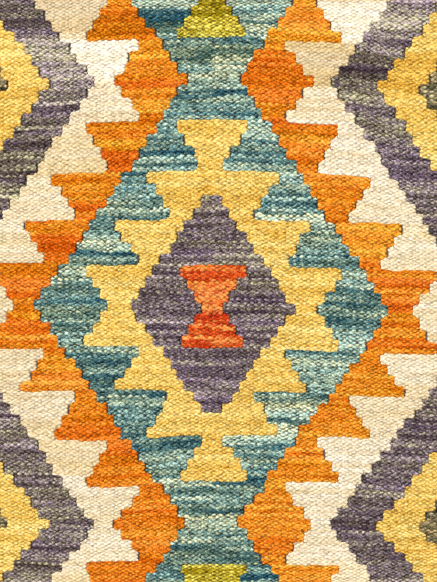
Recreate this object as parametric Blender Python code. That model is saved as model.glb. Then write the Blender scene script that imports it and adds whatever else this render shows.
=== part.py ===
"""A cut length of weft-faced kilim cloth, laid flat: one ribbed woollen sheet with slightly uneven edges.

X runs across the warps and Y along them. The cloth rests on Z = 0, and its box is centred on the Z axis.
"""

import math

import bmesh
import bpy

# Driving dimensions, in metres.
WARP_PITCH = 0.0032  # from one warp to the next, and so from rib to rib
WARPS = 131
PICK_PITCH = 0.001738  # from one row of weft to the next
PICKS = 318
THICKNESS = 0.0036  # at the thickest place, on the crest of a rib
GROOVE_DEPTH = 0.0008  # from a rib's crest down to the grooves beside it
SWELL = 0.0003  # how much thinner the cloth is where it was beaten flattest
EDGE_WANDER = 0.0009  # how far a cut edge strays to either side of a straight line
STRETCHES = 8  # straight stretches that follow each rib's gentle bends

# Worked out from those above.
WIDTH = WARPS * WARP_PITCH
LENGTH = PICKS * PICK_PITCH
COLUMNS = 2 * WARPS  # a groove and a crest for each warp, and one last groove

# The waves in each cut edge: (waves along the edge, start as a share of a wave, share of EDGE_WANDER).
EDGE_WAVES = {
    "left": ((1.3, 0.10, 0.65), (3.1, 0.62, 0.35)),
    "right": ((1.1, 0.55, 0.65), (2.7, 0.20, 0.35)),
    "near": ((1.2, 0.35, 0.60), (3.4, 0.05, 0.40)),
    "far": ((0.9, 0.80, 0.60), (2.9, 0.45, 0.40)),
}

COLOUR = (0.60, 0.36, 0.15, 1.0)  # the mean of the yarns
ROUGHNESS = 0.9


def clear_scene():
    for thing in list(bpy.data.objects):
        bpy.data.objects.remove(thing)


def wave(turns):
    return math.sin(2 * math.pi * turns)


def stray(edge, t):
    """How far a cut edge lies from its straight line, t of the way along it."""
    return EDGE_WANDER * sum(share * wave(count * t + start) for count, start, share in EDGE_WAVES[edge])


def place(u, v):
    """Where the cloth has a point that is u of the way across its warps and v of the way along them."""
    x = (u - 0.5) * WIDTH + (1 - u) * stray("left", v) + u * stray("right", v)
    y = (v - 0.5) * LENGTH + (1 - v) * stray("near", u) + v * stray("far", u)
    return x, y


def beaten(u, v):
    """How hard the weft was beaten down at a point, from 0 to 1."""
    return 0.5 + 0.3 * wave(1.7 * u + 0.4 * v) + 0.2 * wave(2.3 * v - 0.8 * u + 0.3)


def height(column, row):
    """The height of the upper side on one of the crests or grooves, which are counted by column."""
    on_crest = column % 2 == 1
    flatter = SWELL * beaten(column / COLUMNS, row / STRETCHES)
    return THICKNESS - flatter - (0.0 if on_crest else GROOVE_DEPTH)


def round_the_rim(grid):
    """The outermost places of a grid of columns and rows, anticlockwise from above."""
    near = [line[0] for line in grid]
    right = grid[-1][1:]
    far = [line[-1] for line in grid[-2::-1]]
    left = grid[0][-2:0:-1]
    return near + right + far + left


def cloth_mesh():
    """The ribbed upper side, a flat underside and the cut edges between them, as one closed body."""
    bm = bmesh.new()
    upper = [
        [
            bm.verts.new((*place(column / COLUMNS, row / STRETCHES), height(column, row)))
            for row in range(STRETCHES + 1)
        ]
        for column in range(COLUMNS + 1)
    ]
    for left, right in zip(upper, upper[1:]):
        for row in range(STRETCHES):
            bm.faces.new((left[row], right[row], right[row + 1], left[row + 1]))

    rim = round_the_rim(upper)
    foot = [bm.verts.new((vert.co.x, vert.co.y, 0.0)) for vert in rim]
    for here in range(len(rim)):
        after = (here + 1) % len(rim)
        bm.faces.new((foot[here], foot[after], rim[after], rim[here]))
    bm.faces.new(foot[::-1])

    centre = [(min(side) + max(side)) / 2 for side in zip(*((vert.co.x, vert.co.y) for vert in rim))]
    bmesh.ops.translate(bm, verts=bm.verts, vec=(-centre[0], -centre[1], 0.0))
    mesh = bpy.data.meshes.new("kilim_cloth")
    bm.to_mesh(mesh)
    bm.free()
    return mesh


def wool():
    material = bpy.data.materials.new("woven_wool")
    material.use_nodes = True
    shader = material.node_tree.nodes["Principled BSDF"]
    shader.inputs["Base Color"].default_value = COLOUR
    shader.inputs["Roughness"].default_value = ROUGHNESS
    shader.inputs["Metallic"].default_value = 0.0
    return material


def main():
    clear_scene()
    mesh = cloth_mesh()
    mesh.materials.append(wool())
    cloth = bpy.data.objects.new("kilim_cloth", mesh)
    bpy.context.scene.collection.objects.link(cloth)


main()
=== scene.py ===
"""The looks of a flat length of kilim cloth: wool weft packed in beads over hidden warps.

The stepped diamonds are charted in warps and in rows of steps, and each yarn is then woven as a lattice of
beads. X runs across the warps, Y along them, and the cloth rests on Z = 0. Sizes are in metres where nothing
else is said.
"""

import math

import bpy
import numpy as np
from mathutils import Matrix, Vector


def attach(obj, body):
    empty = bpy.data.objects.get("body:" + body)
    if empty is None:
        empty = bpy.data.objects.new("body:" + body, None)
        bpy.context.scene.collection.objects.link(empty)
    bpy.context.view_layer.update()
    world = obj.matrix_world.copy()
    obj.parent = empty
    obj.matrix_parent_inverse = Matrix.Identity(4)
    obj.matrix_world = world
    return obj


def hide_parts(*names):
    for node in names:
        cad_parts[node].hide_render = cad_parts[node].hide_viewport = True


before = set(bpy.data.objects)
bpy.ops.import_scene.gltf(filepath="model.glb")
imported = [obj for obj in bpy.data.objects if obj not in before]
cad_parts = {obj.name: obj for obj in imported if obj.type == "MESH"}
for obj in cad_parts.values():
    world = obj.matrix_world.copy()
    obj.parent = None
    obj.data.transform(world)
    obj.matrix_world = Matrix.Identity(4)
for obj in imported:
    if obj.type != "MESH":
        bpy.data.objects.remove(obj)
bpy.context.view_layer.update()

# The cloth, as in its solid.
WARP_PITCH = 0.0032
WARPS = 131
PICK_PITCH = 0.001738
PICKS = 318
THICKNESS = 0.0036
SWELL = 0.0003  # how much thinner the cloth is where it was beaten flattest
EDGE_WANDER = 0.0009  # how far a cut edge strays to either side of a straight line
WIDTH = WARPS * WARP_PITCH
LENGTH = PICKS * PICK_PITCH

# The waves in each cut edge: (waves along the edge, start as a share of a wave, share of EDGE_WANDER).
EDGE_WAVES = {
    "left": ((1.3, 0.10, 0.65), (3.1, 0.62, 0.35)),
    "right": ((1.1, 0.55, 0.65), (2.7, 0.20, 0.35)),
    "near": ((1.2, 0.35, 0.60), (3.4, 0.05, 0.40)),
    "far": ((0.9, 0.80, 0.60), (2.9, 0.45, 0.40)),
}

# The chart is counted in rows of steps, from the middle row of the whole diamond, and in warps.
FIRST_ROW = -25
LAST_ROW = 27
ROWS = LAST_ROW - FIRST_ROW + 1
PICKS_A_ROW = PICKS // ROWS
REPEAT = 38  # rows from one diamond's widest row to the next one's
MIDDLE = 64  # warps to the left of the diamonds' middle line
WAVER = 0.35  # how far a step may stray, in warps, before it is rounded to whole ones

# The outlines that the colours step along: (warps from the middle line, how many more with each row).
# These start in a diamond's widest row, and the first two end some rows from it.
HOURGLASS = (2.9, 2.1)
HOURGLASS_ROWS = 3
HEART = (23.6, -2.28)
HEART_ROWS = 9
DIAMOND = (50.5, -2.26)
# These start in the row where two diamonds meet.
FIELD = (33.9, 2.36)
CHEVRON = (47.2, 2.5)
CORNER = (59.0, 2.5)
# This one starts in the row where the last tooth ends.
NECK = (20.9, 2.45)
NECK_ROW = 16

# The teeth down a diamond's sides: (warps from the middle line to the longest tooth's tip, how many fewer
# with each tooth).
INNER_TEETH = (36.5, 8.95)
OUTER_TEETH = (63.3, 9.0)
TOOTH_ROWS = 4
FLANK = 2.1  # warps that a tooth grows out with each row
LIME_FLANK = 1.8

# Where the lines between rows lie, because the weft doesn't lie straight. The columns: line, in rows; then
# its place in mm from the cloth's middle, at the left edge, left, middle, right and right edge.
ROW_LINES = (
    (27.5, 276.4, 276.4, 276.4, 276.4, 276.4),
    (25.5, 257.8, 259.2, 260.6, 258.7, 254.2),
    (22.5, 228.6, 228.6, 232.2, 227.7, 222.2),
    (19.0, 188.8, 192.0, 193.4, 192.0, 183.3),
    (15.5, 149.9, 154.5, 156.3, 152.7, 142.6),
    (11.5, 106.1, 108.8, 109.7, 107.0, 98.7),
    (7.5, 64.0, 64.9, 64.9, 63.1, 60.3),
    (3.5, 25.6, 24.2, 23.3, 21.0, 18.3),
    (0.0, -11.9, -12.3, -16.0, -17.8, -19.2),
    (-3.5, -53.0, -50.3, -51.2, -55.8, -58.5),
    (-7.5, -92.3, -90.5, -91.4, -94.2, -98.7),
    (-11.5, -134.4, -136.2, -131.7, -133.5, -137.1),
    (-15.5, -179.2, -179.2, -173.7, -175.5, -180.1),
    (-19.0, -212.1, -212.1, -211.2, -214.4, -217.6),
    (-22.5, -246.9, -246.9, -249.6, -251.4, -247.8),
    (-24.5, -267.0, -267.0, -267.9, -267.9, -267.0),
    (-25.5, -276.4, -276.4, -276.4, -276.4, -276.4),
)
LINE_COLUMNS = (-0.200, -0.108, -0.006, 0.097, 0.200)  # where those five places lie across the warps
MM_IN_A_METRE = 1000
WARP_DRIFT = -0.0010  # how far the warps lean to the left in the middle of the cloth
# How the weave is pulled out of true: (most that a point strays, warps and rows over which that changes).
PULLS = ((0.0009, 9.0, 3.0), (0.0005, 3.0, 0.9), (0.0007, 0.9, 0.13))
CALM = (12, 16)  # the pulls fade out over one part in so many of the width, and of the length, at each edge

# The seeds of the random draws. Each pull adds its number to its seed, and each yarn has its own hundred.
SEEDS = dict(slits=5, outlines=11, beads=31, holes=41, lumps=61, pulls_across=71, pulls_along=81, yarns=100)

# The yarns. The colours are linear.
# Dark, middle and light: the tones that the wool goes through.
# Cool and warm: the casts that its dye drifts between.
# Streaks and lines: how far its lightness varies along the picks, and how much single picks add to that.
# Flecks and mottle: how far its lightness varies from bead to bead, and within a bead.
# Hues: how far its cast varies from bead to bead.
# Hole shade: painted shade, how much darker the wool is painted in the holes between beads, most at a hole's
# bottom.
YARNS = {
    "gold": dict(
        dark=(0.48, 0.23, 0.018), middle=(0.83, 0.525, 0.10), light=(1.0, 0.83, 0.36),
        cool=(1.02, 1.08, 1.25), warm=(1.0, 0.90, 0.70),
        streaks=0.28, lines=0.5, flecks=0.16, mottle=2.2, hues=0.15, hole_shade=0.64,
    ),
    "cream": dict(
        dark=(0.42, 0.29, 0.13), middle=(0.72, 0.588, 0.375), light=(0.98, 0.92, 0.78),
        cool=(1.04, 1.08, 1.22), warm=(0.98, 0.90, 0.72),
        streaks=0.17, lines=0.5, flecks=0.12, mottle=1.3, hues=0.15, hole_shade=0.40,
    ),
    "teal": dict(
        dark=(0.020, 0.080, 0.105), middle=(0.20, 0.32, 0.26), light=(0.72, 0.82, 0.62),
        cool=(0.65, 0.95, 1.20), warm=(1.25, 1.05, 0.80),
        streaks=0.55, lines=0.8, flecks=0.30, mottle=2.2, hues=0.3, hole_shade=1.0,
    ),
    "orange": dict(
        dark=(0.40, 0.065, 0.001), middle=(0.78, 0.205, 0.005), light=(1.0, 0.46, 0.06),
        cool=(1.0, 0.68, 0.9), warm=(1.0, 1.25, 1.2),
        streaks=0.46, lines=0.6, flecks=0.22, mottle=2.5, hues=0.1, hole_shade=0.72,
    ),
    "purple": dict(
        dark=(0.043, 0.024, 0.034), middle=(0.19, 0.143, 0.145), light=(0.67, 0.585, 0.46),
        cool=(0.98, 0.86, 1.27), warm=(1.04, 1.09, 0.79),
        streaks=0.40, lines=1.3, flecks=0.14, mottle=2.1, hues=0.5, hole_shade=0.95,
    ),
    "red": dict(
        dark=(0.42, 0.015, 0.003), middle=(0.68, 0.09, 0.012), light=(0.95, 0.38, 0.07),
        cool=(1.0, 0.88, 0.7), warm=(1.0, 1.12, 1.8),
        streaks=0.20, lines=0.8, flecks=0.40, mottle=2.0, hues=0.5, hole_shade=0.70,
    ),
    "lime": dict(
        dark=(0.16, 0.10, 0.001), middle=(0.45, 0.31, 0.008), light=(0.95, 0.80, 0.14),
        cool=(0.90, 1.0, 1.3), warm=(1.05, 0.98, 0.7),
        streaks=0.40, lines=0.7, flecks=0.35, mottle=1.7, hues=0.2, hole_shade=0.95,
    ),
    "dark": dict(
        dark=(0.035, 0.035, 0.020), middle=(0.20, 0.17, 0.095), light=(0.70, 0.55, 0.30),
        cool=(0.95, 1.0, 1.05), warm=(1.1, 1.0, 0.8),
        streaks=0.4, lines=0.5, flecks=0.6, mottle=1.5, hues=0.4, hole_shade=0.95,
    ),
}
NAMES = tuple(YARNS)

# Streaks that stand out, where the dye's strength changed along the yarn. For each yarn on each side of the
# middle warp, from far to near: the row where a shade starts, and the shade.
STREAKS = {
    ("teal", "left"): """
        26.3 fair, 25.3 deep, 24.2 moss, 23.0 pale, 22.6 dark, 22.3 fair, 21.9 dim, 21.6 olive, 20.9 dark,
        20.1 sky, 19.5 bright, 19.1 pale, 18.6 mid, 17.5 fair, 17.0 dim, 16.1 fair, 15.8 dark, 14.4 pale,
        14.0 fair, 13.5 mid, 13.1 deep, 12.6 pale, 12.1 dim, 11.3 dark, 10.6 mid, 9.5 dim, 9.0 pale,
        8.3 dark, 7.9 deep, 7.5 mid, 6.8 dark, 6.0 pale, 5.5 bright, 4.7 dark, 3.2 pale, 2.3 bright,
        1.9 mid, 1.1 dim, 0.2 dark, -0.6 fair, -1.5 dim, -2.2 pale, -3.0 fair, -3.6 dark, -4.1 deep,
        -4.6 dim, -5.5 fair, -6.1 night, -8.0 fair, -8.5 dim, -9.0 mid, -9.4 dim, -10.0 fair, -10.9 dark,
        -11.5 dim, -12.0 deep, -12.6 mid, -13.1 dim, -13.9 mid, -14.3 pale, -14.9 bright, -16.0 dim,
        -16.5 pale, -17.2 dark, -18.4 pale, -20.8 dark, -22.0 mid, -23.5 dim""",
    ("teal", "right"): """
        27.6 pale, 25.8 mid, 25.3 dim, 24.9 pale, 24.4 dim, 24.0 bright, 22.7 dark, 22.1 dim, 21.8 olive,
        20.7 pale, 20.0 bright, 19.4 pale, 18.2 deep, 17.6 bright, 16.9 dim, 16.1 dark, 15.4 bright,
        14.1 dim, 13.7 pale, 13.1 dim, 12.5 mid, 12.0 pale, 11.6 bright, 10.0 fair, 9.5 dim, 9.1 mid,
        8.6 deep, 8.2 chalk, 7.1 mid, 6.5 fair, 5.6 sky, 4.5 blue, 4.1 dim, 3.6 pale, 2.1 dark, 1.8 deep,
        1.1 dark, 0.1 pale, -0.5 fair, -1.0 dark, -1.7 pale, -5.6 dim, -6.0 fair, -7.2 dim, -7.8 bright,
        -8.7 chalk, -9.9 dark, -10.5 chalk, -12.3 dark, -12.7 blue, -13.4 dim, -14.0 pale, -15.1 night,
        -16.0 mid, -17.5 dim, -18.0 deep, -18.3 pale, -20.0 dim, -20.4 dark, -22.5 fair, -23.0 dim,
        -23.4 night, -24.0 bright""",
    ("orange", "left"): """
        27.6 red, 26.0 fair, 24.8 brown, 23.0 mid, 22.4 yellow, 20.7 fair, 19.0 red, 18.2 fair, 17.0 pale,
        16.1 dim, 15.1 mid, 14.2 yellow, 13.3 red, 11.5 mid, 10.5 dim, 9.5 mid, 8.8 red, 7.4 mid, 6.3 red,
        3.6 mid, 3.0 dim, 2.1 red, 0.4 mid, -0.6 yellow, -0.9 red, -2.2 mid, -2.7 dim, -3.8 pale, -5.3 mid,
        -6.5 pale, -7.6 mid, -10.3 red, -12.9 fair, -15.6 mid, -16.5 fair, -18.3 dim, -19.4 fair, -21.5 dim,
        -22.0 red""",
    ("orange", "right"): """
        27.6 pale, 26.0 bright, 25.0 pale, 24.0 bright, 23.6 yellow, 21.8 mid, 21.3 red, 19.1 dim, 18.6 mid,
        18.0 red, 17.1 fair, 15.8 red, 15.3 mid, 11.5 fair, 11.0 pale, 10.3 mid, 7.5 pale, 6.0 bright,
        4.9 pale, 4.4 mid, 2.9 red, 2.1 fair, 1.0 red, 0.0 fair, -0.5 mid, -2.0 red, -3.0 pale, -3.8 fair,
        -5.5 pale, -7.0 dim, -7.4 fair, -12.0 pale, -13.0 mid, -15.4 pale, -18.5 fair, -20.3 dim,
        -21.3 fair, -23.4 pale""",
    ("purple", "left"): """
        27.6 tan, 26.6 dim, 26.0 tan, 24.9 smoke, 24.0 mid, 23.3 bright, 22.2 chalk, 21.0 bright, 19.1 fair,
        18.1 pale, 17.0 dark, 16.1 ash, 15.0 dim, 14.0 smoke, 13.5 tan, 13.0 ash, 12.0 smoke, 11.0 grey,
        8.9 dim, 7.9 dark, 6.0 ash, 4.9 dim, 3.9 mid, 3.1 dim, 2.1 mid, 1.0 dark, 0.1 mid, -3.8 fair,
        -4.9 dim, -6.0 mid, -6.4 dark, -7.0 fair, -8.9 dim, -9.8 grey, -11.0 tan, -11.9 pale, -12.9 dim,
        -14.9 ash, -16.9 pale, -17.9 fair, -18.9 pale, -19.9 mid, -20.9 dim, -22.0 mid, -22.9 dark,
        -23.8 pale""",
    ("purple", "right"): """
        27.6 bright, 25.9 fair, 25.1 chalk, 24.0 fair, 21.8 ash, 20.9 smoke, 19.9 tan, 19.1 ash, 18.1 grey,
        17.0 fair, 14.5 mid, 12.0 dim, 11.0 mid, 10.0 lilac, 8.8 fair, 8.0 dim, 7.0 dark, 5.7 ash, 5.0 grey,
        3.0 mid, 2.0 dark, 0.9 dim, -0.9 mid, -2.0 dark, -3.0 dim, -7.1 fair, -8.0 dim, -11.0 dark,
        -12.0 mid, -13.1 fair, -14.3 mid, -15.1 dim, -15.9 pale, -17.0 mid, -17.5 dim, -19.7 mid,
        -20.9 dark, -22.0 mid, -23.9 pale""",
    ("red", "left"): """
        3.5 pale, 3.1 dark, 2.4 pale, -0.5 dark, -1.5 pale, -1.9 dark, -2.6 bright, -2.9 dark""",
    ("red", "right"): """
        3.5 pale, 3.1 dark, 2.4 pale, -0.5 dark, -1.5 bright, -1.9 dark, -2.6 pale, -3.0 mid""",
    ("cream", "left"): """
        26.3 dark, 23.3 mid, 22.6 white, 19.2 mid, 16.5 beige, 11.5 mid, 4.8 dim, -9.7 beige, -14.3 milk,
        -22.4 mid""",
    ("cream", "right"): """
        26.3 white, 22.6 tan, 21.7 dark, 20.3 tan, 18.7 mid, 15.9 milk, 11.5 mid, 7.2 fair, 3.0 mid,
        -2.2 dim, -3.6 mid, -11.0 milk, -22.4 fair""",
    ("gold", "left"): "26.3 fair, 18.8 beige, 14.9 mid, -17.3 dim, -18.8 mid",
    ("gold", "right"): "26.3 mid, 22.3 tan, 18.8 mid, 14.9 fair, 13.3 mid, -17.3 dim, -18.8 mid",
    ("lime", "left"): "27.6 dim, 24.9 dark, 24.6 pale",
    ("lime", "right"): "27.6 dim, 24.9 dark, 24.6 pale",
}

# Each shade's tone, from dark to light, and its warmth, both from about -1 to 1.
SHADES = {
    "night": (-1.0, -0.3), "deep": (-0.75, -0.3), "dark": (-0.42, 0.0), "dim": (-0.22, 0.0),
    "mid": (0.0, 0.0),
    "fair": (0.18, 0.1), "pale": (0.42, 0.2), "bright": (0.75, 0.2), "chalk": (1.1, 0.2),
    "blue": (-0.32, -0.5), "sky": (0.35, -0.5), "milk": (0.0, -0.4), "white": (0.40, -0.4),
    "moss": (-0.75, 0.9), "olive": (-0.2, 0.8), "yellow": (0.2, 0.8),
    "smoke": (-0.7, 0.8), "ash": (0.02, 0.9), "grey": (0.3, 0.6), "lilac": (0.15, -0.6),
    "brown": (-0.7, 0.4), "tan": (-0.25, 0.9), "beige": (-0.12, 0.4),
    "vermilion": (-0.35, -1.2), "red": (-0.1, -0.8),
}

# Small stains and slubs. The columns: yarn; warps to the right of the middle; row; how many warps and rows
# it spreads to each side; shade.
MARKS = (
    ("gold", 18, 6.3, 3.0, 0.5, "tan"),
    ("gold", -3, 10.2, 2.0, 0.6, "tan"),
    ("orange", 39, -5.9, 3.5, 0.10, "brown"),
    ("orange", 51, -6.8, 2.5, 0.15, "brown"),
    ("orange", 31, -7.3, 1.5, 0.4, "vermilion"),
    ("orange", -46, 6.3, 1.5, 0.12, "brown"),
    ("teal", -3, 21.2, 4.0, 0.6, "moss"),
    ("cream", 61, 6.5, 2.0, 0.3, "tan"),
)

# The weave. A height is 1 on a bead's crest and 0 at the bottom of a hole between beads.
RELIEF = 0.0009  # from a bead's crest down to a hole's bottom
CORNER_HEIGHT = 0.25  # at a bead's four corners
END_HEIGHT = 0.65  # at its left and right ends, where the weft goes down between two warps
SIDE_HEIGHT = 0.45  # at its far and near sides
HOLES = 0.4  # most that a hole is filled by the beads round it
RIM = -0.6  # where the weft turns back at a slit or at the cloth's edge
RING = 0.58  # how far out a bead's inner ring lies
DOME = 0.22  # how much of the fall to the rim is done at that ring
TILT = 0.25  # how far up a bead's right end lies, in picks, for the twist of the yarn
LEAN = 0.10  # how far to the left a bead's top lies, in warps
PUSH = (0.10, 0.15)  # how far a bead pushes into the holes round it, in warps and in picks
UNEVEN = (0.1, 1.9)  # the least and the most share of those three that one bead gets
ROUNDING = (0.35, 0.8)  # how far the corner of a step is drawn in, in warps and in picks
SLIT = 0.30  # most half-width of a slit, in warps
SLIT_DRAW = (-1.5, 1.0)  # each slit's share of that is drawn between these, and below 0 it stays shut
LUMPY = 0.50  # how far the heights stray from those above
LUMPS = (0.8, 0.12)  # the size of a lump, in warps and in rows

# The warps' strands.
WARP_SIZE = (0.0017, 0.0013)  # across and up
WARP_SIDES = 8
WARP_STRETCHES = 20
EDGE_ANGLE = 50  # degrees between two faces from which their edge is shaded as a sharp one

# The wool. Its plies and fibres are noise, with so many waves a metre along X, Y and Z.
PLIES = dict(scale=(540, 1200, 600), detail=2.0)
FIBRES = dict(scale=(1100, 3600, 1500), detail=3.0)
NOISE_TURN = -20  # degrees that the noise's own grid is turned out of line with the weave's
TONE_SHARE = 0.45  # how far a tone of 1 moves a bead along the way from its dark colour to its light one
FIBRE_SHARE = 0.6  # how much of that way the fibres spread over
ROUGHNESS = (0.78, 0.3)  # the least, and how much the plies add
SPECULAR = 0.03
SHEEN = 0.05
SHEEN_ROUGHNESS = 0.5
BUMP_STRENGTH = 0.6
BUMP_HEIGHT = 0.0004
# The warps' colours are partly the wool's own brown and partly painted shade, kept dark for where the warps
# show down the slits.
WARP_DARK = (0.09, 0.065, 0.045)
WARP_LIGHT = (0.24, 0.18, 0.125)
WARP_NOISE = 900
WARP_ROUGHNESS = 0.9

# The studio.
FRAME_HEIGHT = 0.5321  # the length of cloth in the camera's view
LENS = 85.0
SENSOR = 36.0
KEY_PLACE = (-3.6, 4.4, 5.2)
KEY_SIZE = 2.0
KEY_WATTS = 960
SKY = 0.6
FLOOR_COLOUR = (0.72, 0.71, 0.69)
FLOOR_ROUGHNESS = 0.8
FLOOR_REACH = 6.0
FLOOR_LEVEL = -0.0005  # a little under the cloth, so that the two don't flicker


# ------------------------------------------------------------------------------------------------ the chart


def chart():
    """The yarn of each warp in each row of steps, as an index in NAMES, by warp and row."""
    rows = np.arange(FIRST_ROW, LAST_ROW + 1)[None, :]
    half = REPEAT // 2
    row = np.abs((rows + half) % REPEAT - half)
    warps = np.arange(WARPS)[:, None] + 0.5 - MIDDLE
    rng = np.random.default_rng(SEEDS["outlines"])
    in_neck = row >= NECK_ROW
    in_whole_diamond = np.abs(rows) < half

    def within(warps_out):
        return np.abs(warps) < warps_out + side_waver(rng, warps)

    def stepped(outline, steps):
        start, step = outline
        return start + step * steps

    def toothed(teeth, flank):
        longest, shorter = teeth
        return longest - shorter * (row // TOOTH_ROWS) - flank * (TOOTH_ROWS - 1 - row % TOOTH_ROWS)

    hourglass = within(stepped(HOURGLASS, row)) & (np.abs(rows) <= HOURGLASS_ROWS)
    heart = within(stepped(HEART, row)) & (row <= HEART_ROWS)
    inner_teeth = within(toothed(INNER_TEETH, np.where(in_whole_diamond, FLANK, LIME_FLANK))) & ~in_neck
    diamond = within(stepped(DIAMOND, row))
    outer_teeth = within(np.where(in_neck, stepped(NECK, row - NECK_ROW), toothed(OUTER_TEETH, FLANK)))
    field, chevron, corner = (within(stepped(outline, half - row)) for outline in (FIELD, CHEVRON, CORNER))
    zones = (
        (hourglass, "red"),
        (heart, "purple"),
        (inner_teeth & in_whole_diamond, "gold"),
        (inner_teeth, "lime"),
        (diamond, "teal"),
        (outer_teeth, "orange"),
        (field, "cream"),
        (chevron, "purple"),
        (corner, "gold"),
    )
    yarns = [NAMES.index(name) for _, name in zones]
    return np.select([zone for zone, _ in zones], yarns, NAMES.index("dark"))


def side_waver(rng, warps):
    """How far the steps of one outline stray, by row, on the left and on the right."""
    left, right = rng.uniform(-WAVER, WAVER, (2, 1, ROWS))
    return np.where(warps < 0, left, right)


# ------------------------------------------------------------------------------------- where the cloth lies


def wave(turns):
    return np.sin(2 * math.pi * turns)


def smooth(t):
    """Eases a share from 0 to 1, level at both ends."""
    return t * t * (3 - 2 * t)


def stray(edge, t):
    """How far a cut edge lies from its straight line, t of the way along it."""
    return EDGE_WANDER * sum(share * wave(count * t + start) for count, start, share in EDGE_WAVES[edge])


def beaten(u, v):
    """How hard the weft was beaten down at a point, from 0 to 1."""
    return 0.5 + 0.3 * wave(1.7 * u + 0.4 * v) + 0.2 * wave(2.3 * v - 0.8 * u + 0.3)


def between_lines(x, along):
    """The place along the warps of points at x that are so many rows from the near edge."""
    table = np.array(ROW_LINES[::-1])
    lines = table[:, 0] - table[0, 0]
    places = np.stack([np.interp(along, lines, column / MM_IN_A_METRE) for column in table[:, 1:].T])
    column = np.interp(x, LINE_COLUMNS, range(len(LINE_COLUMNS)))
    before = np.minimum(column.astype(int), len(LINE_COLUMNS) - 2)
    part = smooth(column - before)
    start, end = (np.take_along_axis(places, (before + step)[None], axis=0)[0] for step in (0, 1))
    return start * (1 - part) + end * part


def off_edge(t, calm):
    """A share that rises from 0 at either edge to 1 further in, for a place t of the way between the two."""
    return np.clip(np.minimum(t, 1 - t) * calm, 0, 1)


def lie(across, along):
    """Where the cloth has a point, given in warps from its left edge and in rows from its near one.

    Gives its x and y, and how hard the weft was beaten down there.
    """
    u = across / WARPS
    x = (u - 0.5) * WIDTH
    y = between_lines(x, along)
    v = y / LENGTH + 0.5
    inside = off_edge(u, CALM[0]) * off_edge(v, CALM[1])
    for number, (size, warps, rows) in enumerate(PULLS):
        x = x + size * inside * drifting(SEEDS["pulls_across"] + number, across, along, warps, rows)
        y = y + size * inside * drifting(SEEDS["pulls_along"] + number, across, along, warps, rows)
    x = x + (1 - u) * stray("left", v) + u * stray("right", v) + WARP_DRIFT * np.sin(math.pi * u)
    y = y + (1 - v) * stray("near", u) + v * stray("far", u)
    return x, y, beaten(u, v)


def rim_centre():
    """The middle of the outline's box, which lies on the Z axis once the cloth is in its place."""
    t = np.linspace(0, 1, 2 * WARPS + 1)
    far, near = (lie(t * WARPS, np.full_like(t, row)) for row in (ROWS, 0))
    left, right = (lie(np.full_like(t, warp), t * ROWS) for warp in (0, WARPS))
    x = np.concatenate([side[0] for side in (far, near, left, right)])
    y = np.concatenate([side[1] for side in (far, near, left, right)])
    return (x.min() + x.max()) / 2, (y.min() + y.max()) / 2


def drifting(seed, across, along, warps, rows):
    """A smooth random number from -1 to 1 at each place, which changes over so many warps and rows."""
    rng = np.random.default_rng(seed)
    knots = rng.uniform(-1, 1, (math.ceil(WARPS / warps) + 3, math.ceil(ROWS / rows) + 3))
    s = np.clip(across, -0.5, WARPS + 0.5) / warps + 1
    t = np.clip(along, -0.5, ROWS + 0.5) / rows + 1
    i, j = s.astype(int), t.astype(int)
    s, t = smooth(s - i), smooth(t - j)
    near = knots[i, j] * (1 - s) + knots[i + 1, j] * s
    far = knots[i, j + 1] * (1 - s) + knots[i + 1, j + 1] * s
    return near * (1 - t) + far * t


# -------------------------------------------------------------------------------------------------- the dye


def tones(name):
    """How light and how warm each bead of a yarn is, from about -1 to 1, by warp and pick."""
    yarn = YARNS[name]
    seed = SEEDS["yarns"] * (1 + NAMES.index(name))
    warp, pick = np.indices((WARPS, PICKS))
    there_and_back = pick - pick % 2  # two picks share the widest streaks, as the yarn turns back at the side

    def drift(number, warps, picks, pick=pick):
        return drifting(seed + number, warp + 0.5, pick / PICKS_A_ROW, warps, picks / PICKS_A_ROW)

    def from_bead_to_bead(number):
        return np.random.default_rng(seed + number).uniform(-1, 1, warp.shape)

    wide = drift(0, warps=45, picks=2, pick=there_and_back)
    streaks = wide + 0.7 * drift(1, warps=20, picks=2.5) + yarn["lines"] * drift(2, warps=25, picks=1)
    flecks = 0.8 * drift(3, warps=5, picks=1) + from_bead_to_bead(4)
    hues = 0.6 * drift(5, warps=30, picks=5) + 0.5 * drift(6, warps=20, picks=1)
    row = pick / PICKS_A_ROW + FIRST_ROW - 0.4  # in the chart's rows, of which row 0 spans -0.5 to 0.5
    shade = streaked(name, warp, row + 0.25 * drift(8, warps=12, picks=12))
    stain(shade, name, warp, row)
    tone = yarn["streaks"] * streaks + yarn["flecks"] * flecks + shade[0]
    return np.stack([tone, hues + yarn["hues"] * from_bead_to_bead(7) + shade[1]])


def streaked(name, warp, row):
    """The tone and warmth that the table of streaks gives each bead of a yarn."""
    shade = np.zeros((2, *row.shape))
    for side, on_side in (("left", warp < MIDDLE), ("right", warp >= MIDDLE)):
        for entry in STREAKS.get((name, side), "0 mid").split(","):
            start, name_of_shade = entry.split()
            shade[:, on_side & (row <= float(start))] = np.array(SHADES[name_of_shade])[:, None]
    return shade


def stain(shade, name, warp, row):
    """Adds the marks on a yarn to the tone and warmth of its beads."""
    for marked, right, middle_row, warps_wide, rows_wide, name_of_shade in MARKS:
        if marked == name:
            off = ((warp - MIDDLE - right) / warps_wide) ** 2 + ((row - middle_row) / rows_wide) ** 2
            shade += np.exp(-off) * np.array(SHADES[name_of_shade])[:, None, None]


# ------------------------------------------------------------------------------------------------- the weft

# The points round a cell, anticlockwise from the middle of its right side, in half warps and half picks.
ROUND = ((1, 0), (1, 1), (0, 1), (-1, 1), (-1, 0), (-1, -1), (0, -1), (1, -1))
# The cell that each of the eight wedges between those points looks towards.
FACING = ((1, 0), (0, 1), (0, 1), (-1, 0), (-1, 0), (0, -1), (0, -1), (1, 0))
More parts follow.
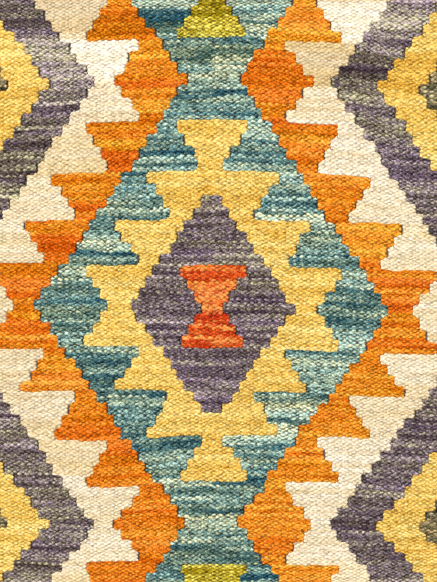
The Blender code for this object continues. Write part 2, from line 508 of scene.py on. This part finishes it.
# A cell's sides: the cell beyond, and the points of ROUND at the side's start, middle and end.
SIDES = (((1, 0), (7, 0, 1)), ((0, 1), (1, 2, 3)), ((-1, 0), (3, 4, 5)), ((0, -1), (5, 6, 7)))


def lattice(yarns):
    """Where the weave has its points, in warps and rows, and their heights.

    Points lie at each half warp and half pick, so that a cell for each crossing has one in its middle.
    """
    a, b = np.indices((2 * WARPS + 1, 2 * PICKS + 1))
    across = a / 2
    along = b / (2 * PICKS_A_ROW)
    height = np.full(a.shape, CORNER_HEIGHT)
    height[0::2, 1::2] = END_HEIGHT
    height[1::2, 0::2] = SIDE_HEIGHT
    holes = HOLES * np.random.default_rng(SEEDS["holes"]).uniform(size=(WARPS, PICKS))
    height[1::2, 1::2] = np.where(is_over(*np.indices((WARPS, PICKS))), 1, holes)
    height += LUMPY * drifting(SEEDS["lumps"], across, along, *LUMPS)
    shape_beads(across, along)
    round_corners(yarns, across, along)
    for edge in (height[0], height[-1], height[:, 0], height[:, -1]):
        edge[:] = RIM
    return across, along, height


def is_over(warp, pick):
    """Whether the weft passes over the warp in a pick, as it does at every second crossing."""
    return (warp + pick) % 2 == 0


def shape_beads(across, along):
    """Widens each bead into the holes round it, raises its right end and shifts its top to the left."""
    rng = np.random.default_rng(SEEDS["beads"])
    warp, pick = np.indices((WARPS - 1, PICKS))
    outward = np.where(is_over(warp, pick), 1, -1) * rng.uniform(*UNEVEN, warp.shape)
    across[2:-1:2, 1::2] += PUSH[0] * outward
    along[2:-1:2, 1::2] += TILT / PICKS_A_ROW * outward
    warp, pick = np.indices((WARPS, PICKS - 1))
    outward = np.where(is_over(warp, pick), 1, -1) * rng.uniform(*UNEVEN, warp.shape)
    along[1::2, 2:-1:2] += PUSH[1] / PICKS_A_ROW * outward
    across[1::2, 2:-1:2] -= LEAN * outward


def round_corners(yarns, across, along):
    """Draws the outward corners of each yarn's patches in."""
    cells = {(i, j): yarns[i : WARPS - 1 + i, j : ROWS - 1 + j] for i in (0, 1) for j in (0, 1)}
    inward = np.zeros((2, WARPS - 1, ROWS - 1))
    for (i, j), cell in cells.items():
        outer = (cell != cells[1 - i, j]) & (cell != cells[i, 1 - j])
        inward += outer * np.array([2 * i - 1, 2 * j - 1])[:, None, None]
    a_row = 2 * PICKS_A_ROW  # in half picks
    for step, share in ((-1, 0.5), (0, 1.0), (1, 0.5)):
        by_lines = slice(a_row + step, -a_row + 2, a_row)
        by_warps = slice(2 + step, 2 * WARPS - 1 + step, 2)
        across[2:-1:2, by_lines] += share * ROUNDING[0] * inward[0]
        along[by_warps, a_row:-1:a_row] += share * ROUNDING[1] / PICKS_A_ROW * inward[1]


def open_slits(woven, slits, across, along, height):
    """Draws the weft of one yarn back, and turns it down, where it ends at a warp."""
    framed = np.pad(woven, ((1, 1), (0, 0))).astype(int)
    inward = framed[1:] - framed[:-1]
    inward[[0, -1]] = 0
    half_picks = np.arange(2 * PICKS + 1)
    row = np.minimum(half_picks // (2 * PICKS_A_ROW), ROWS - 1)
    widest_in_the_middle = np.abs(np.sin(math.pi * half_picks / (2 * PICKS_A_ROW)))
    opened = inward[:, row] * slits[:, row] * widest_in_the_middle
    across[0::2] += SLIT * opened
    height[0::2] += np.sqrt(np.abs(opened)) * (RIM - height[0::2])


class Area:
    """The crossings where one yarn is woven, with their dyes and those of the crossings beside them."""

    def __init__(self, inside, dye):
        self.warp, self.pick = np.nonzero(inside)
        self.over = is_over(self.warp, self.pick)
        self.framed = np.pad(inside, 1)
        self.framed_dye = np.pad(dye, ((0, 0), (1, 1), (1, 1)), mode="edge")
        self.own_dye = self.dye_beside((0, 0))

    def is_woven_beside(self, step):
        return self.framed[self.warp + 1 + step[0], self.pick + 1 + step[1]]

    def dye_beside(self, step):
        return self.framed_dye[:, self.warp + 1 + step[0], self.pick + 1 + step[1]]

    def centres(self, grid):
        """What a grid of the lattice's points has in the middle of each crossing, as a column."""
        return grid[2 * self.warp + 1, 2 * self.pick + 1][:, None]

    def rims(self, grid):
        """What a grid of the lattice's points has at the eight points round each crossing."""
        return np.stack([grid[2 * self.warp + 1 + a, 2 * self.pick + 1 + b] for a, b in ROUND], axis=1)


class Patchwork:
    """The mesh of all the places where one yarn is woven, as it grows."""

    def __init__(self):
        self.points = []
        self.hollows = []
        self.faces = []
        self.dyes = []
        self.count = 0

    def add_points(self, across, along, height, upper):
        """Adds points by their place on the cloth, none of them below Z = 0, and returns their numbers."""
        x, y, thinner = lie(across.ravel(), along.ravel())
        sunk = RELIEF * (1 - height.ravel())
        z = THICKNESS - SWELL * thinner - sunk if upper else np.maximum(sunk, 0)
        self.points.append(np.stack([x, y, z], axis=1))
        # How deep each point lies. The wool uses this to paint shade into the holes between beads.
        self.hollows.append(np.clip(1 - height.ravel(), 0, 1))
        numbers = self.count + np.arange(across.size).reshape(across.shape)
        self.count += across.size
        return numbers

    def add_faces(self, faces, dye):
        """Adds faces, as their points' numbers along the last axis, with each one's tone and warmth."""
        self.faces.append(faces.reshape(-1, faces.shape[-1]))
        self.dyes.append(np.broadcast_to(dye, (2, *faces.shape[:-1])).reshape(2, -1))

    def to_object(self, label, material, underside_from):
        """Makes the mesh object, without the points that no face uses."""
        corners = np.concatenate([group.ravel() for group in self.faces])
        used, corners = np.unique(corners, return_inverse=True)
        ends = np.cumsum([group.size for group in self.faces])
        faces = []
        for group, part in zip(self.faces, np.split(corners, ends)):
            faces += part.reshape(group.shape).tolist()
        points = np.concatenate(self.points)[used] - (*rim_centre(), 0)
        mesh = bpy.data.meshes.new(label)
        mesh.from_pydata(points, [], faces)
        tone, warmth = np.concatenate(self.dyes, axis=1)
        hollow = np.concatenate(self.hollows)[used]
        attributes = (("tone", "FACE", tone), ("warmth", "FACE", warmth), ("hollow", "POINT", hollow))
        for name, domain, values in attributes:
            mesh.attributes.new(name, "FLOAT", domain).data.foreach_set("value", values)
        mesh.shade_smooth()
        lay_out_map(mesh, points[corners], corners >= np.searchsorted(used, underside_from))
        mesh.materials.append(material)
        return add_object(label, mesh)


def lay_out_map(mesh, places, under):
    """Maps the upper side flat over most of a square, and the underside, smaller, beside it."""
    margin = 0.01
    side = (1 + 2 * margin) * LENGTH
    upper_share = WIDTH / LENGTH
    scale = np.where(under, (1 - upper_share) / upper_share, 1.0) / side
    u = (places[:, 0] + WIDTH / 2) * scale + np.where(under, upper_share + margin, margin)
    v = (places[:, 1] + LENGTH / 2) * scale + margin
    layer = mesh.uv_layers.new(name="OFBake")
    layer.uv.foreach_set("vector", np.stack([u, v], axis=1).astype(np.float32).ravel())


def weave(name, yarns, points, slits, part=slice(None), label=""):
    """Weaves one yarn wherever the chart has it, within some of the warps, and returns its object."""
    woven = yarns == NAMES.index(name)
    across, along, height = (grid.copy() for grid in points)
    open_slits(woven, slits, across, along, height)
    inside = np.zeros((WARPS, PICKS), bool)
    inside[part] = np.repeat(woven, PICKS_A_ROW, axis=1)[part]
    area = Area(inside, tones(name))

    patchwork = Patchwork()
    upper = patchwork.add_points(across, along, height, upper=True)
    add_beads(patchwork, area, upper, across, along, height)
    add_holes(patchwork, area, upper)
    low_height = height.copy()
    low_height[1::2, 1::2] = 1 - height[1::2, 1::2]
    lower = patchwork.add_points(across, along, low_height, upper=False)
    add_underside(patchwork, area, upper, lower)
    return patchwork.to_object(f"weft_{name}{label}", wool(name), lower.min())


def add_beads(patchwork, area, upper, across, along, height):
    """Adds a dome at each crossing where the weft passes over: slopes up to a ring, and a cap inside it."""
    bead = area.over
    dye = area.own_dye[:, bead, None]
    places = []
    for grid in (across, along):
        middle = area.centres(grid)[bead]
        places.append(middle + RING * (area.rims(grid)[bead] - middle))
    ring = patchwork.add_points(*places, 1 - DOME * (1 - area.rims(height)[bead]), upper=True)
    rim = area.rims(upper)[bead]
    centre = area.centres(upper)[bead]
    following_rim, following_ring = (np.roll(loop, -1, axis=1) for loop in (rim, ring))
    patchwork.add_faces(np.stack([ring, rim, following_rim, following_ring], axis=2), dye)
    patchwork.add_faces(np.stack([centre + 0 * ring, ring, following_ring], axis=2), dye)


def add_holes(patchwork, area, upper):
    """Adds a dip at each crossing where the weft passes under. A wedge has the dye of the bead it faces."""
    hole = ~area.over
    beyond = np.stack([area.dye_beside(step) for step in FACING], axis=2)[:, hole]
    joined = np.stack([area.is_woven_beside(step) for step in FACING], axis=1)[hole]
    rim = area.rims(upper)[hole]
    wedges = np.stack([area.centres(upper)[hole] + 0 * rim, rim, np.roll(rim, -1, axis=1)], axis=2)
    patchwork.add_faces(wedges, np.where(joined, beyond, area.own_dye[:, hole, None]))


def add_underside(patchwork, area, upper, lower):
    """Adds the underside, and the walls down to it where the area ends."""
    rim, low_rim = area.rims(upper), area.rims(lower)
    low_centre = area.centres(lower)[:, 0]
    for step, (start, middle, end) in SIDES:
        patchwork.add_faces(np.stack([low_centre, low_rim[:, end], low_rim[:, start]], axis=1), area.own_dye)
        wall = [low_rim[:, start], low_rim[:, end], rim[:, end], rim[:, middle], rim[:, start]]
        is_open = ~area.is_woven_beside(step)
        patchwork.add_faces(np.stack(wall, axis=1)[is_open], area.own_dye[:, is_open])


# ------------------------------------------------------------------------------------------------ the warps


def string_warps(material):
    """The warps: one round strand under each row of beads, cut off level with the weft."""
    t = np.linspace(0, 1, WARP_STRETCHES + 1)
    angle = 2 * math.pi * np.arange(WARP_SIDES) / WARP_SIDES
    ring = np.stack([np.cos(angle) * WARP_SIZE[0], 0 * angle, np.sin(angle) * WARP_SIZE[1]], axis=1) / 2
    points = []
    faces = []
    for warp in range(WARPS):
        x, y, _ = lie(np.full_like(t, warp + 0.5), t * ROWS)
        middle = np.stack([x, y, np.full_like(t, THICKNESS / 2)], axis=1)
        points.append((middle[:, None] + ring[None]).reshape(-1, 3))
        first = warp * WARP_SIDES * (WARP_STRETCHES + 1)
        last = first + WARP_SIDES * WARP_STRETCHES
        for start in range(first, last, WARP_SIDES):
            for side in range(WARP_SIDES):
                here = start + side
                after = start + (side + 1) % WARP_SIDES
                faces.append((here, here + WARP_SIDES, after + WARP_SIDES, after))
        faces.append(tuple(first + side for side in range(WARP_SIDES)))
        faces.append(tuple(last + side for side in reversed(range(WARP_SIDES))))
    mesh = bpy.data.meshes.new("warps")
    mesh.from_pydata(np.concatenate(points) - (*rim_centre(), 0), [], faces)
    mesh.shade_smooth()
    mesh.set_sharp_from_angle(angle=math.radians(EDGE_ANGLE))
    mesh.materials.append(material)
    return add_object("warps", mesh)


def add_object(name, data):
    thing = bpy.data.objects.new(name, data)
    bpy.context.scene.collection.objects.link(thing)
    return thing


# ------------------------------------------------------------------------------------------------ materials


def new_material(name):
    material = bpy.data.materials.new(name)
    material.use_nodes = True
    return material, material.node_tree.nodes, material.node_tree.links


def noise_along_yarn(nodes, links, place, scale, detail):
    """Noise stretched along the yarn, which runs across the warps."""
    mapping = nodes.new("ShaderNodeMapping")
    mapping.inputs["Rotation"].default_value = (0, 0, math.radians(NOISE_TURN))
    mapping.inputs["Scale"].default_value = scale
    links.new(place, mapping.inputs["Vector"])
    noise = nodes.new("ShaderNodeTexNoise")
    noise.inputs["Scale"].default_value = 1.0
    noise.inputs["Detail"].default_value = detail
    links.new(mapping.outputs["Vector"], noise.inputs["Vector"])
    return noise.outputs["Fac"]


def math_node(nodes, links, operation, *values):
    node = nodes.new("ShaderNodeMath")
    node.operation = operation
    for socket, value in zip(node.inputs, values):
        if isinstance(value, bpy.types.NodeSocket):
            links.new(value, socket)
        else:
            socket.default_value = value
    return node.outputs["Value"]


def attribute(nodes, name):
    node = nodes.new("ShaderNodeAttribute")
    node.attribute_name = name
    return node.outputs["Fac"]


def ramp_node(nodes, links, level, *colours):
    """A ramp with its colours evenly spaced from the first, at level 0, to the last, at level 1."""
    node = nodes.new("ShaderNodeValToRGB")
    elements = node.color_ramp.elements
    elements[0].color = (*colours[0], 1)
    elements[1].color = (*colours[-1], 1)
    for index in range(1, len(colours) - 1):
        elements.new(index / (len(colours) - 1)).color = (*colours[index], 1)
    links.new(level, node.inputs["Fac"])
    return node.outputs["Color"]


def wool(name):
    """Wool of one dye lot: streaked by its tone, with painted shade darkening the holes, and fibres along the
    yarn.
    """
    yarn = YARNS[name]
    material, nodes, links = new_material(f"wool_{name}")
    shader = nodes["Principled BSDF"]
    shader.inputs["Sheen Weight"].default_value = SHEEN
    shader.inputs["Sheen Roughness"].default_value = SHEEN_ROUGHNESS
    shader.inputs["Sheen Tint"].default_value = (*yarn["light"], 1)
    shader.inputs["Specular IOR Level"].default_value = SPECULAR
    place = nodes.new("ShaderNodeTexCoord").outputs["Object"]
    plies = noise_along_yarn(nodes, links, place, **PLIES)
    fibres = noise_along_yarn(nodes, links, place, **FIBRES)

    tone = mottled_tone(nodes, links, yarn, plies, fibres)
    dyed = nodes.new("ShaderNodeVectorMath")
    dyed.operation = "MULTIPLY"
    links.new(ramp_node(nodes, links, tone, yarn["dark"], yarn["middle"], yarn["light"]), dyed.inputs[0])
    links.new(cast(nodes, links, yarn), dyed.inputs[1])
    shaded = nodes.new("ShaderNodeVectorMath")
    shaded.operation = "SCALE"
    links.new(dyed.outputs["Vector"], shaded.inputs[0])
    # Painted shade: the colour is darkened with a point's depth, standing in for the shade in the holes
    # between beads.
    shade = math_node(nodes, links, "MULTIPLY_ADD", attribute(nodes, "hollow"), -yarn["hole_shade"], 1.0)
    links.new(shade, shaded.inputs["Scale"])
    links.new(shaded.outputs["Vector"], shader.inputs["Base Color"])

    least, plies_add = ROUGHNESS
    links.new(math_node(nodes, links, "MULTIPLY_ADD", plies, plies_add, least), shader.inputs["Roughness"])
    bump = nodes.new("ShaderNodeBump")
    bump.inputs["Strength"].default_value = BUMP_STRENGTH
    bump.inputs["Distance"].default_value = BUMP_HEIGHT
    links.new(math_node(nodes, links, "ADD", plies, fibres), bump.inputs["Height"])
    links.new(bump.outputs["Normal"], shader.inputs["Normal"])
    return material


def mottled_tone(nodes, links, yarn, plies, fibres):
    """Where the wool's colour lies between its dark tone, at 0, and its light one, at 1."""
    # Plies and fibres average 0.5, so a bead with a tone of 0 averages 0.5 with this start.
    start = 0.5 - (yarn["mottle"] + FIBRE_SHARE) / 2
    tone = math_node(nodes, links, "MULTIPLY_ADD", attribute(nodes, "tone"), TONE_SHARE, start)
    tone = math_node(nodes, links, "MULTIPLY_ADD", plies, yarn["mottle"], tone)
    return math_node(nodes, links, "MULTIPLY_ADD", fibres, FIBRE_SHARE, tone)


def cast(nodes, links, yarn):
    """What the wool's colour is multiplied by: its cool cast at a warmth of -1, and its warm one at 1."""
    mix = nodes.new("ShaderNodeMix")
    mix.data_type = "RGBA"
    mix.inputs["A"].default_value = (*yarn["cool"], 1)
    mix.inputs["B"].default_value = (*yarn["warm"], 1)
    share = math_node(nodes, links, "MULTIPLY_ADD", attribute(nodes, "warmth"), 0.5, 0.5)
    links.new(share, mix.inputs["Factor"])
    return mix.outputs["Result"]


def warp_wool():
    """The warps' dark brown wool: partly the wool's own brown, and partly painted shade for the warps seen
    down the slits.
    """
    material, nodes, links = new_material("wool_warp")
    shader = nodes["Principled BSDF"]
    shader.inputs["Roughness"].default_value = WARP_ROUGHNESS
    noise = nodes.new("ShaderNodeTexNoise")
    noise.inputs["Scale"].default_value = WARP_NOISE
    links.new(nodes.new("ShaderNodeTexCoord").outputs["Object"], noise.inputs["Vector"])
    colour = ramp_node(nodes, links, noise.outputs["Fac"], WARP_DARK, WARP_LIGHT)
    links.new(colour, shader.inputs["Base Color"])
    return material


def plain(name, colour, roughness):
    material, nodes, _ = new_material(name)
    nodes["Principled BSDF"].inputs["Base Color"].default_value = (*colour, 1)
    nodes["Principled BSDF"].inputs["Roughness"].default_value = roughness
    return material


# ---------------------------------------------------------------------------------- floor, light and camera


def floor():
    corners = ((-1, -1), (1, -1), (1, 1), (-1, 1))
    points = [(FLOOR_REACH * x, FLOOR_REACH * y, FLOOR_LEVEL) for x, y in corners]
    mesh = bpy.data.meshes.new("floor")
    mesh.from_pydata(points, [], [(0, 1, 2, 3)])
    mesh.materials.append(plain("floor", FLOOR_COLOUR, FLOOR_ROUGHNESS))
    thing = add_object("floor", mesh)


def light():
    """A key light, far off so that it falls evenly on the cloth, and a soft white sky."""
    world = bpy.data.worlds.new("studio")
    world.use_nodes = True
    world.node_tree.nodes["Background"].inputs["Color"].default_value = (1, 1, 1, 1)
    world.node_tree.nodes["Background"].inputs["Strength"].default_value = SKY
    bpy.context.scene.world = world
    bpy.context.scene.view_settings.view_transform = "Standard"
    key = bpy.data.lights.new("key", "AREA")
    key.size = KEY_SIZE
    key.energy = KEY_WATTS
    thing = add_object("key", key)
    thing.location = KEY_PLACE
    thing.rotation_euler = Vector(KEY_PLACE).to_track_quat("Z", "Y").to_euler()


def camera():
    """A camera that looks straight down on the cloth."""
    data = bpy.data.cameras.new("camera")
    data.lens = LENS
    data.sensor_width = SENSOR
    thing = add_object("camera", data)
    thing.location = (0, 0, THICKNESS + FRAME_HEIGHT * LENS / SENSOR)
    bpy.context.scene.camera = thing


# ------------------------------------------------------------------------------------------------ the cloth


def cloth():
    """Weaves each yarn as a piece, the orange in two halves, and strings the warps."""
    yarns = chart()
    points = lattice(yarns)
    slits = np.clip(np.random.default_rng(SEEDS["slits"]).uniform(*SLIT_DRAW, (WARPS + 1, ROWS)), 0, 1)
    halves = ((slice(None, MIDDLE), "_left"), (slice(MIDDLE, None), "_right"))
    pieces = [weave(name, yarns, points, slits) for name in NAMES if name != "orange"]
    pieces += [weave("orange", yarns, points, slits, part, label) for part, label in halves]
    strands = string_warps(warp_wool())
    for piece in (strands, *pieces):
        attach(piece, "root")
        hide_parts("kilim_cloth")


cloth()
floor()
light()
camera()
